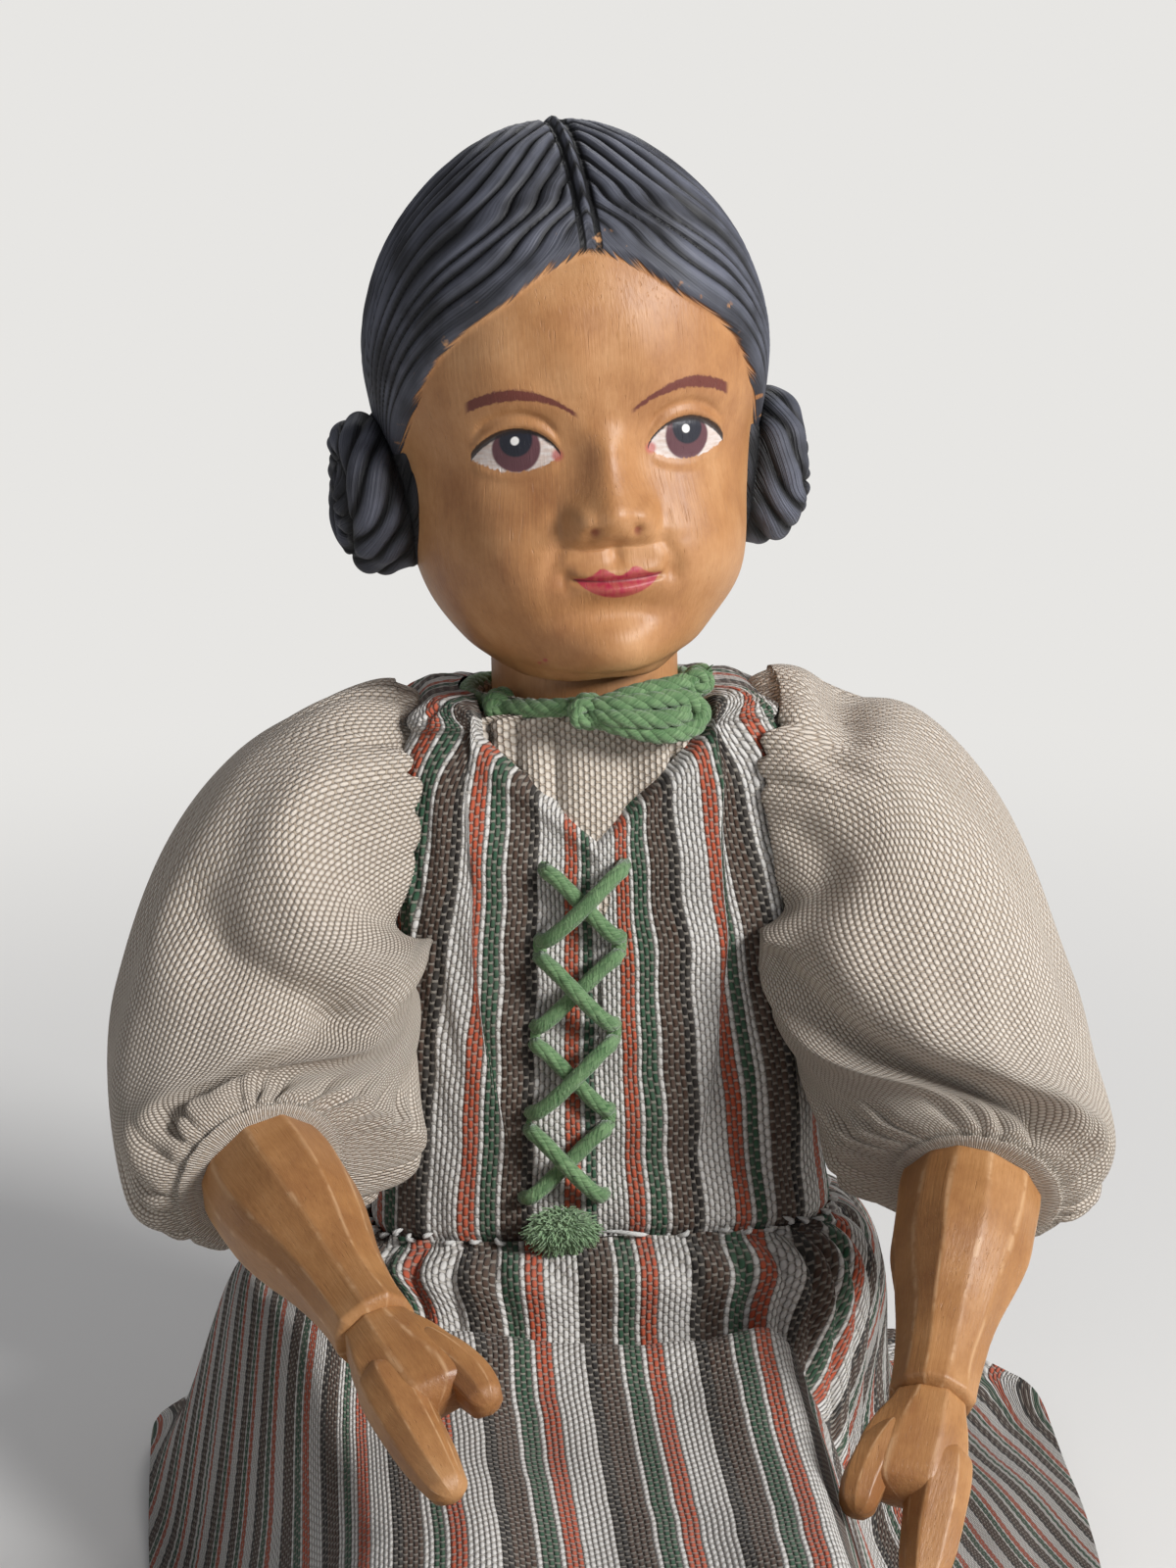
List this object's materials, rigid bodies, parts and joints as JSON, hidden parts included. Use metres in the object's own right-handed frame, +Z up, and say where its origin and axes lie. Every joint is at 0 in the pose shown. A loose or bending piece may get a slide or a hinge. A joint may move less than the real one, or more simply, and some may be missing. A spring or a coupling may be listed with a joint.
{
  "type": "jointed wooden doll",
  "caption": "Seated carved wooden doll with pegged, hinged limbs, a turning head with coiled braids, and a blouse, laced bodice and gathered striped skirt.",
  "frame": {"origin": "middle of the flat seat on the underside of the trunk", "axes": "+Z up, the doll faces -Y with its legs straight out, +X is its own left"},
  "size_m": [0.108, 0.1587, 0.1456],
  "materials": {
    "face_wood": "honey-stained carved wood with painted features, satin",
    "hair_paint": "slate-black paint on carved wood, worn on the ridges",
    "body_wood": "plain turned and sawn wood",
    "limb_wood": "honey-stained wood with knife flats, satin",
    "peg_wood": "turned dowel",
    "linen": "coarse plain-weave linen",
    "striped_cloth": "hand-woven stripes of cream, brown, black, red and green",
    "green_yarn": "twisted cotton yarn"
  },
  "bodies": {
    "torso": {"torso": "body_wood", "left_shoulder_peg": "peg_wood", "right_shoulder_peg": "peg_wood", "hip_dowel": "peg_wood", "blouse": "linen", "bodice": "striped_cloth", "skirt": "striped_cloth", "bodice_lacing": "green_yarn", "lacing_tassel": "green_yarn", "neck_tie": "green_yarn"},
    "head": {"head": "face_wood", "left_braid_bun": "hair_paint", "right_braid_bun": "hair_paint", "neck_peg": "peg_wood"},
    "left_upper_arm": {"left_upper_arm": "limb_wood", "left_elbow_peg": "peg_wood", "left_sleeve": "linen"},
    "left_forearm": {"left_forearm": "limb_wood"},
    "left_thigh": {"left_thigh": "limb_wood", "left_knee_peg": "peg_wood"},
    "left_lower_leg": {"left_lower_leg": "limb_wood"},
    "right_upper_arm": {"right_upper_arm": "limb_wood", "right_elbow_peg": "peg_wood", "right_sleeve": "linen"},
    "right_forearm": {"right_forearm": "limb_wood"},
    "right_thigh": {"right_thigh": "limb_wood", "right_knee_peg": "peg_wood"},
    "right_lower_leg": {"right_lower_leg": "limb_wood"}
  },
  "joints": [
    {"name": "neck_turn", "type": "hinge", "parent": "torso", "child": "head", "pos_m": [-0.00146, 0.00878, 0.08353], "axis": [-0.0174, 0.1045, 0.9944], "range_deg": [-60, 60]},
    {"name": "left_shoulder", "type": "hinge", "parent": "torso", "child": "left_upper_arm", "pos_m": [0.01726, 0.00773, 0.07391], "axis": [-0.9998, 0, -0.0175], "range_deg": [-4, 78], "deforming": ["left_sleeve", "skirt"]},
    {"name": "left_elbow", "type": "hinge", "parent": "left_upper_arm", "child": "left_forearm", "pos_m": [0.03884, -0.01642, 0.0455], "axis": [-0.429, 0.5732, -0.6981], "range_deg": [-40, 30], "deforming": ["left_sleeve", "skirt"]},
    {"name": "right_shoulder", "type": "hinge", "parent": "torso", "child": "right_upper_arm", "pos_m": [-0.01983, 0.00773, 0.07326], "axis": [-0.9998, 0, -0.0175], "range_deg": [-8, 66], "deforming": ["right_sleeve", "skirt"]},
    {"name": "right_elbow", "type": "hinge", "parent": "right_upper_arm", "child": "right_forearm", "pos_m": [-0.04048, -0.02105, 0.04874], "axis": [-0.4547, -0.4445, 0.7718], "range_deg": [-48, 22], "deforming": ["right_sleeve", "skirt"]},
    {"name": "left_hip", "type": "hinge", "parent": "torso", "child": "left_thigh", "pos_m": [0.0105, 0, 0.0102], "axis": [1, 0, 0], "range_deg": [0, 90], "deforming": ["skirt"]},
    {"name": "left_knee", "type": "hinge", "parent": "left_thigh", "child": "left_lower_leg", "pos_m": [0.0105, -0.058, 0.0102], "axis": [1, 0, 0], "range_deg": [0, 90], "deforming": ["skirt"]},
    {"name": "right_hip", "type": "hinge", "parent": "torso", "child": "right_thigh", "pos_m": [-0.0105, 0, 0.0102], "axis": [1, 0, 0], "range_deg": [0, 90], "deforming": ["skirt"]},
    {"name": "right_knee", "type": "hinge", "parent": "right_thigh", "child": "right_lower_leg", "pos_m": [-0.0105, -0.058, 0.0102], "axis": [1, 0, 0], "range_deg": [0, 90], "deforming": ["skirt"]}
  ]
}
